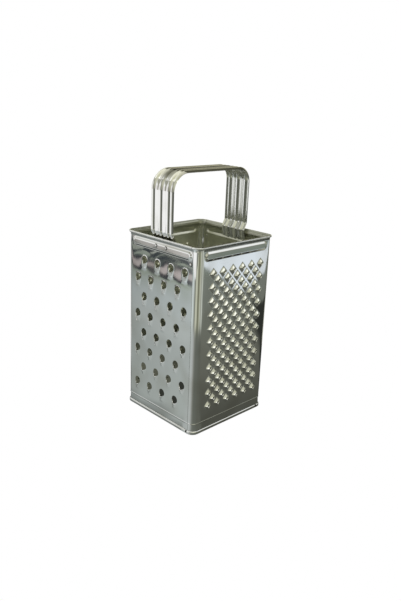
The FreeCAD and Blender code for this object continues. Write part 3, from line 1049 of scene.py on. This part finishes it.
# Before the medium wall: dark ground, darker by the wall's right end, and the window.
right_floor = colour_steps(east, (
    (0.05, (0.080, 0.082, 0.068)), (0.10, (0.105, 0.108, 0.090)), (0.16, (0.145, 0.150, 0.125)),
    (0.26, (0.160, 0.170, 0.143)), (0.34, (0.185, 0.20, 0.175)), (0.45, (0.21, 0.24, 0.21)),
))
nook = all_of(range_of(math_of("MULTIPLY", lean, -1), 0.010, 0.024), fade_of(east, 0.25, 0.28))
ragged = math_of("MULTIPLY_ADD", blots, raggedness, -raggedness / 2)
beyond = math_of("ADD", vector_of("DOT_PRODUCT", ground, (-0.44, 1.0, 0.0)), ragged)
within = math_of("ADD", vector_of("DOT_PRODUCT", ground, (1.0, -0.45, 0.0)), ragged)
window = all_of(range_of(beyond, 0.163, 0.172), range_of(within, 0.165, 0.175), fade_of(east, 0.49, 0.51))
nook_tone, window_tone = (0.030, 0.032, 0.028), (0.78, 0.84, 0.90)
right_side = blend_of(window, blend_of(nook, right_floor, nook_tone), window_tone)

# The sectors by bearing, two patches at the left and one behind the object, and what lies far off.
behind_tone = (0.12, 0.125, 0.115)
mirrored = left_floor
for start, full, tone in (
    (0.118, 0.132, corner_floor), (0.612, 0.624, right_side),
    (0.765, 0.79, behind_tone), (0.965, 0.985, left_floor),
):
    mirrored = blend_of(range_of(bearing, start, full), mirrored, tone)
leftwards = range_of(vector_of("DOT_PRODUCT", ground, (-1.0, 1.305, 0.0)), 0.0, 0.01)
leftwards = all_of(leftwards, range_of(north, -0.17, -0.15))
by_wall = all_of(leftwards, range_of(north, -0.078, -0.072), fade_of(north, -0.04, -0.03))
before_it = all_of(leftwards, fade_of(north, -0.087, -0.080))
yonder = all_of(range_of(north, 0.19, 0.23), fade_of(east, 0.10, 0.14), range_of(east, 0.0, 0.03))
for patch, tone in (
    (by_wall, (0.06, 0.065, 0.06)), (before_it, (0.62, 0.62, 0.61)), (yonder, khaki),
):
    mirrored = blend_of(patch, mirrored, tone)
far_floor = colour_steps(bearing, (
    (0.0, far_white), (0.27, far_white), (0.31, (0.42, 0.43, 0.38)),
    (0.345, (0.13, 0.135, 0.115)), (0.40, (0.08, 0.085, 0.07)), (0.60, (0.08, 0.085, 0.075)),
    (0.64, (0.22, 0.25, 0.215)), (0.73, (0.24, 0.27, 0.235)), (0.76, khaki),
    (0.815, khaki), (0.85, (0.09, 0.095, 0.08)), (0.90, (0.13, 0.135, 0.115)),
    (0.935, (0.42, 0.43, 0.38)), (0.965, far_white),
))
other_ways = 0.7
outwards = math_of("MULTIPLY", north, -1)
for way, share in ((east, other_ways), (east, -other_ways), (north, other_ways)):
    outwards = math_of("MAXIMUM", outwards, math_of("MULTIPLY", way, share))
mirrored = blend_of(range_of(outwards, 0.52, 0.545), mirrored, far_floor)

# The ground that the walls stand round carries painted shadow: dark to the camera and dim to the metal.
past_bend = nodes.new("ShaderNodeCombineXYZ")
for way, socket in zip((east, north), past_bend.inputs):
    past = math_of("SUBTRACT", math_of("ABSOLUTE", way), bend_line * mm)
    links.new(math_of("MAXIMUM", past, 0.0), socket)
outside = range_of(vector_of("LENGTH", past_bend.outputs[0]), 0.0054, 0.006)
footprint_painted_shadow, footprint_painted_reflection, white = (0.032, 0.034, 0.028), (0.24, 0.245, 0.205), (1.0, 1.0, 1.0)


def seen_apart(seen, glow, output):
    """Camera rays meet one shader, and all other rays, which the metal mirrors, meet another."""
    nodes = output.id_data.nodes
    which = nodes.new("ShaderNodeMixShader")
    camera_ray = nodes.new("ShaderNodeLightPath").outputs["Is Camera Ray"]
    for socket, value in zip(which.inputs, (camera_ray, glow.outputs[0], seen.outputs[0])):
        put_in(socket, value)
    put_in(output.inputs["Surface"], which.outputs[0])


seen, glow = nodes.new("ShaderNodeEmission"), nodes.new("ShaderNodeEmission")
put_in(seen.inputs["Color"], blend_of(outside, footprint_painted_shadow, white))
put_in(glow.inputs["Color"], blend_of(outside, footprint_painted_reflection, mirrored))
seen_apart(seen, glow, nodes["Material Output"])

# Soft studio light. The camera sees plain white. The metal mirrors a dim khaki room with a bright
# ceiling, a broad warm glow at the camera's right, small bright and dark patches, and a low pale glow
# at the left. Two weak soft boxes add highlights.
studio = bpy.data.worlds.new("studio")
bpy.context.scene.world = studio
studio.use_nodes = True
nodes = studio.node_tree.nodes
heading = nodes.new("ShaderNodeTexCoord").outputs["Generated"]
rise = vector_of("DOT_PRODUCT", heading, (0.0, 0.0, 1.0))
sky = colour_steps(rise, (
    (0.0, (0.28, 0.28, 0.23)), (0.3, (0.28, 0.28, 0.22)), (0.52, (0.34, 0.34, 0.28)),
    (0.70, (0.40, 0.40, 0.34)), (0.76, (0.88, 0.89, 0.87)), (1.0, (0.80, 0.80, 0.76)),
))
for towards, edge, core, tone in (
    ((0.78, -0.30, 0.55), 0.74, 0.97, (0.58, 0.58, 0.45)),
    ((-0.24, 0.97, 0.0), 0.80, 0.97, (0.44, 0.44, 0.34)),
    ((-0.05, 0.71, 0.70), 0.90, 0.94, (0.10, 0.10, 0.08)),
    ((0.47, 0.69, 0.55), 0.94, 0.985, (0.96, 0.97, 0.97)),
    ((-0.66, 0.69, 0.30), 0.93, 0.97, (0.62, 0.60, 0.48)),
    ((-0.74, 0.00, 0.67), 0.93, 0.96, (0.95, 0.96, 0.94)),
):
    sky = blend_of(range_of(vector_of("DOT_PRODUCT", heading, towards), edge, core), sky, tone)
leftwards = vector_of("DOT_PRODUCT", heading, (-0.68, -0.73, 0.0))
low_left = all_of(fade_of(rise, 0.36, 0.54), range_of(leftwards, 0.60, 0.76))
low_left_tone = blend_of(range_of(rise, 0.22, 0.31), (0.80, 0.78, 0.77), (0.94, 0.945, 0.93))
sky = blend_of(low_left, sky, low_left_tone)
seen, glow = nodes.new("ShaderNodeBackground"), nodes["Background"]
put_in(seen.inputs["Color"], white)
put_in(glow.inputs["Color"], sky)
seen_apart(seen, glow, nodes["World Output"])
bpy.context.scene.view_settings.view_transform = "Standard"
lamp_aim = Vector((0, 0, 0.1))
for name, place, size, power in (
    ("key", (-0.9, -1.1, 1.7), 0.5, 1.0),
    ("fill", (1.5, -0.7, 1.5), 0.5, 0.5),
):
    lamp = bpy.data.lights.new(name, "AREA")
    lamp.size = size
    lamp.energy = power
    lamp_object = placed(name, lamp)
    lamp_object.location = place
    lamp_object.rotation_euler = (lamp_aim - Vector(place)).to_track_quat("-Z", "Y").to_euler()

# Camera at the photograph's angle. Its place, its turn and its focal length in pixels were solved
# from the rim, the foot and the upright corners.
photo_height = 601
focal_length = 608.4
camera_place = (0.3877, -0.3773, 0.2853)
camera = bpy.data.cameras.new("camera")
camera.sensor_width = 36.0
camera.lens = camera.sensor_width * focal_length / photo_height
camera_object = placed("camera", camera)
right, top, back = (0.6911, 0.7217, 0.0377), (-0.2518, 0.1916, 0.9486), (0.6774, -0.6651, 0.3142)
turn = Matrix((right, top, back)).transposed()
camera_object.matrix_world = Matrix.Translation(camera_place) @ turn.to_4x4()
bpy.context.scene.camera = camera_object
